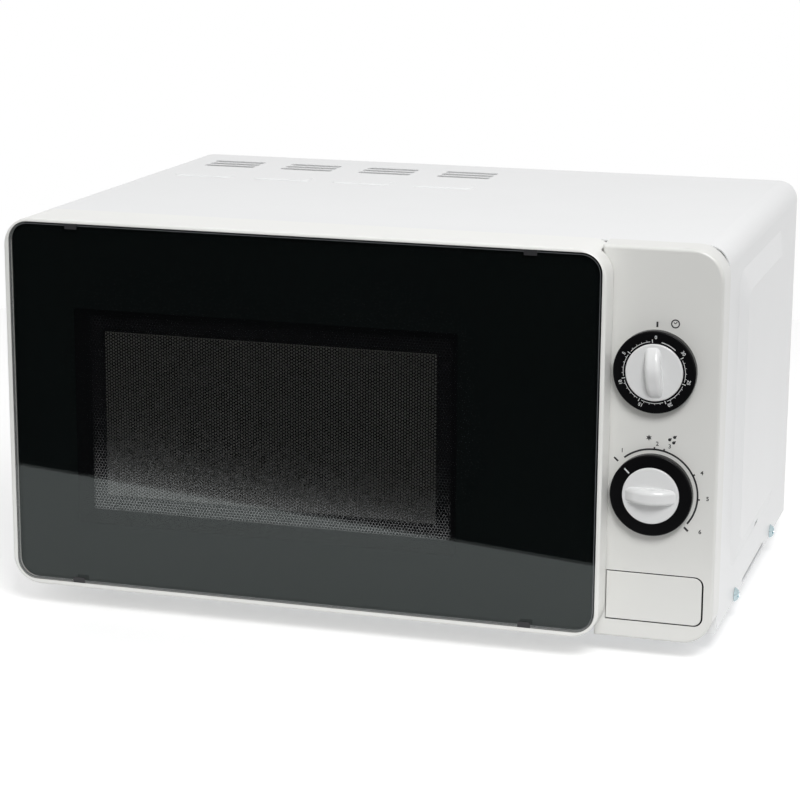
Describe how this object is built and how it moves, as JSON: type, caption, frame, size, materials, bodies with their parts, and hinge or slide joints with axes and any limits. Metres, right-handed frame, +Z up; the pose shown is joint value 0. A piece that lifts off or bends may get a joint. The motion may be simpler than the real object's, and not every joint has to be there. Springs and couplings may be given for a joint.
{
  "type": "microwave oven",
  "caption": "Countertop microwave oven with a side-hinged glass-fronted door, rotary timer and power knobs, a push button that releases the door and a turntable on rollers.",
  "frame": {"origin": "middle of the outer box at the level of the feet's soles", "axes": "X to the right seen from the front, Y to the rear, Z up"},
  "size_m": [0.458, 0.33, 0.254],
  "materials": {
    "cover_paint": "white satin",
    "galvanised": "dull zinc",
    "screw_steel": "dark passivated",
    "foot_rubber": "matte",
    "bush_black": "matte",
    "panel_white": "satin white",
    "door_white": "satin white",
    "pane_black": "gloss smoked",
    "clip_clear": "translucent",
    "dial_black": "satin black",
    "grip_white": "gloss white",
    "shaft_steel": "bright",
    "enamel": "grey enamel",
    "mica": "mottled",
    "screen_dark": "black satin",
    "film_clear": "clear",
    "choke_grey": "fine grain",
    "natural_plastic": "natural",
    "switch_black": "matte",
    "core_iron": "laminated",
    "winding_copper": "enamelled wire",
    "can_aluminium": "drawn",
    "board_green": "matte",
    "lamp_glass": "clear",
    "tray_glass": "clear"
  },
  "bodies": {
    "cabinet": {"outer_cover": "cover_paint", "case_screws": "screw_steel", "base_plate": "galvanised", "feet": "foot_rubber", "rear_panel": "galvanised", "inlet_bush": "bush_black", "control_panel": "panel_white", "front_plate": "enamel", "hinge_brackets": "galvanised", "cavity_floor": "enamel", "cavity_ceiling": "enamel", "cavity_left_wall": "enamel", "cavity_right_wall": "enamel", "cavity_rear_wall": "enamel", "waveguide_cover": "mica", "waveguide": "galvanised", "magnetron": "galvanised", "transformer_core": "core_iron", "transformer_windings": "winding_copper", "hv_capacitor": "can_aluminium", "capacitor_bracket": "galvanised", "hv_diode": "switch_black", "fan_shroud": "natural_plastic", "fan_motor": "galvanised", "lamp_holder": "natural_plastic", "cavity_lamp": "lamp_glass", "filter_board": "board_green", "thermal_cutout": "switch_black", "turntable_motor": "can_aluminium", "timer_unit": "natural_plastic", "power_selector": "natural_plastic", "latch_board": "natural_plastic", "interlock_switches": "switch_black", "button_spring": "shaft_steel"},
    "door": {"door_frame": "door_white", "door_pane": "pane_black", "pane_clips": "clip_clear", "door_screen": "screen_dark", "door_film": "film_clear", "choke_frame": "galvanised", "choke_cover": "choke_grey", "latch_spring": "shaft_steel"},
    "latch": {"door_latch": "natural_plastic"},
    "button": {"door_button": "panel_white"},
    "lever": {"release_lever": "natural_plastic"},
    "timer": {"timer_dial": "dial_black", "timer_knob": "grip_white", "timer_shaft": "shaft_steel"},
    "power": {"power_dial": "dial_black", "power_knob": "grip_white", "power_shaft": "shaft_steel"},
    "turntable": {"turntable_shaft": "natural_plastic", "turntable_coupler": "natural_plastic", "glass_tray": "tray_glass"},
    "rollers": {"roller_ring": "natural_plastic"},
    "wheel_1": {"roller_wheel_1": "natural_plastic"},
    "wheel_2": {"roller_wheel_2": "natural_plastic"},
    "wheel_3": {"roller_wheel_3": "natural_plastic"},
    "fan": {"fan_blade": "switch_black", "fan_shaft": "shaft_steel"}
  },
  "joints": [
    {"name": "door_hinge", "type": "hinge", "parent": "cabinet", "child": "door", "pos_m": [-0.215, -0.1365, 0.13], "axis": [0, 0, -1], "range_deg": [0, 100]},
    {"name": "button_push", "type": "slide", "parent": "cabinet", "child": "button", "axis": [0, 1, 0], "range_m": [0, 0.005], "stiffness_N_per_m": 600, "springref_m": -0.002, "deforming": ["button_spring"]},
    {"name": "lever_pivot", "type": "hinge", "parent": "cabinet", "child": "lever", "pos_m": [0.1545, -0.1152, 0.07], "axis": [1, 0, 0], "range_deg": [0, 10.3]},
    {"name": "latch_slide", "type": "slide", "parent": "door", "child": "latch", "axis": [0, 0, 1], "range_m": [0, 0.003], "deforming": ["latch_spring"]},
    {"name": "timer_turn", "type": "hinge", "parent": "cabinet", "child": "timer", "pos_m": [0.187, -0.15, 0.18], "axis": [0, 1, 0], "range_deg": [0, 300]},
    {"name": "power_turn", "type": "hinge", "parent": "cabinet", "child": "power", "pos_m": [0.187, -0.15, 0.1045], "axis": [0, 1, 0], "range_deg": [0, 180]},
    {"name": "tray_spin", "type": "hinge", "parent": "cabinet", "child": "turntable", "pos_m": [-0.053, 0.0128, 0.045], "axis": [0, 0, 1], "continuous": true},
    {"name": "ring_spin", "type": "hinge", "parent": "cabinet", "child": "rollers", "pos_m": [-0.053, 0.0128, 0.0453], "axis": [0, 0, 1], "continuous": true},
    {"name": "wheel_spin_1", "type": "hinge", "parent": "rollers", "child": "wheel_1", "pos_m": [0.043, 0.0128, 0.0453], "axis": [1, 0, 0], "continuous": true},
    {"name": "wheel_spin_2", "type": "hinge", "parent": "rollers", "child": "wheel_2", "pos_m": [-0.101, 0.09594, 0.0453], "axis": [-0.5, 0.866, 0], "continuous": true},
    {"name": "wheel_spin_3", "type": "hinge", "parent": "rollers", "child": "wheel_3", "pos_m": [-0.101, -0.07034, 0.0453], "axis": [-0.5, -0.866, 0], "continuous": true},
    {"name": "fan_spin", "type": "hinge", "parent": "cabinet", "child": "fan", "pos_m": [0.1612, 0.12, 0.0748], "axis": [0, 1, 0], "continuous": true}
  ],
  "couplings": [
    {"joint": "lever_pivot", "follows": "button_push", "rad_per_m": 35.714},
    {"joint": "latch_slide", "follows": "button_push", "ratio": 0.6},
    {"joint": "ring_spin", "follows": "tray_spin", "ratio": 0.5},
    {"joint": "wheel_spin_1", "follows": "tray_spin", "ratio": -6.8571},
    {"joint": "wheel_spin_2", "follows": "tray_spin", "ratio": -6.8571},
    {"joint": "wheel_spin_3", "follows": "tray_spin", "ratio": -6.8571}
  ]
}
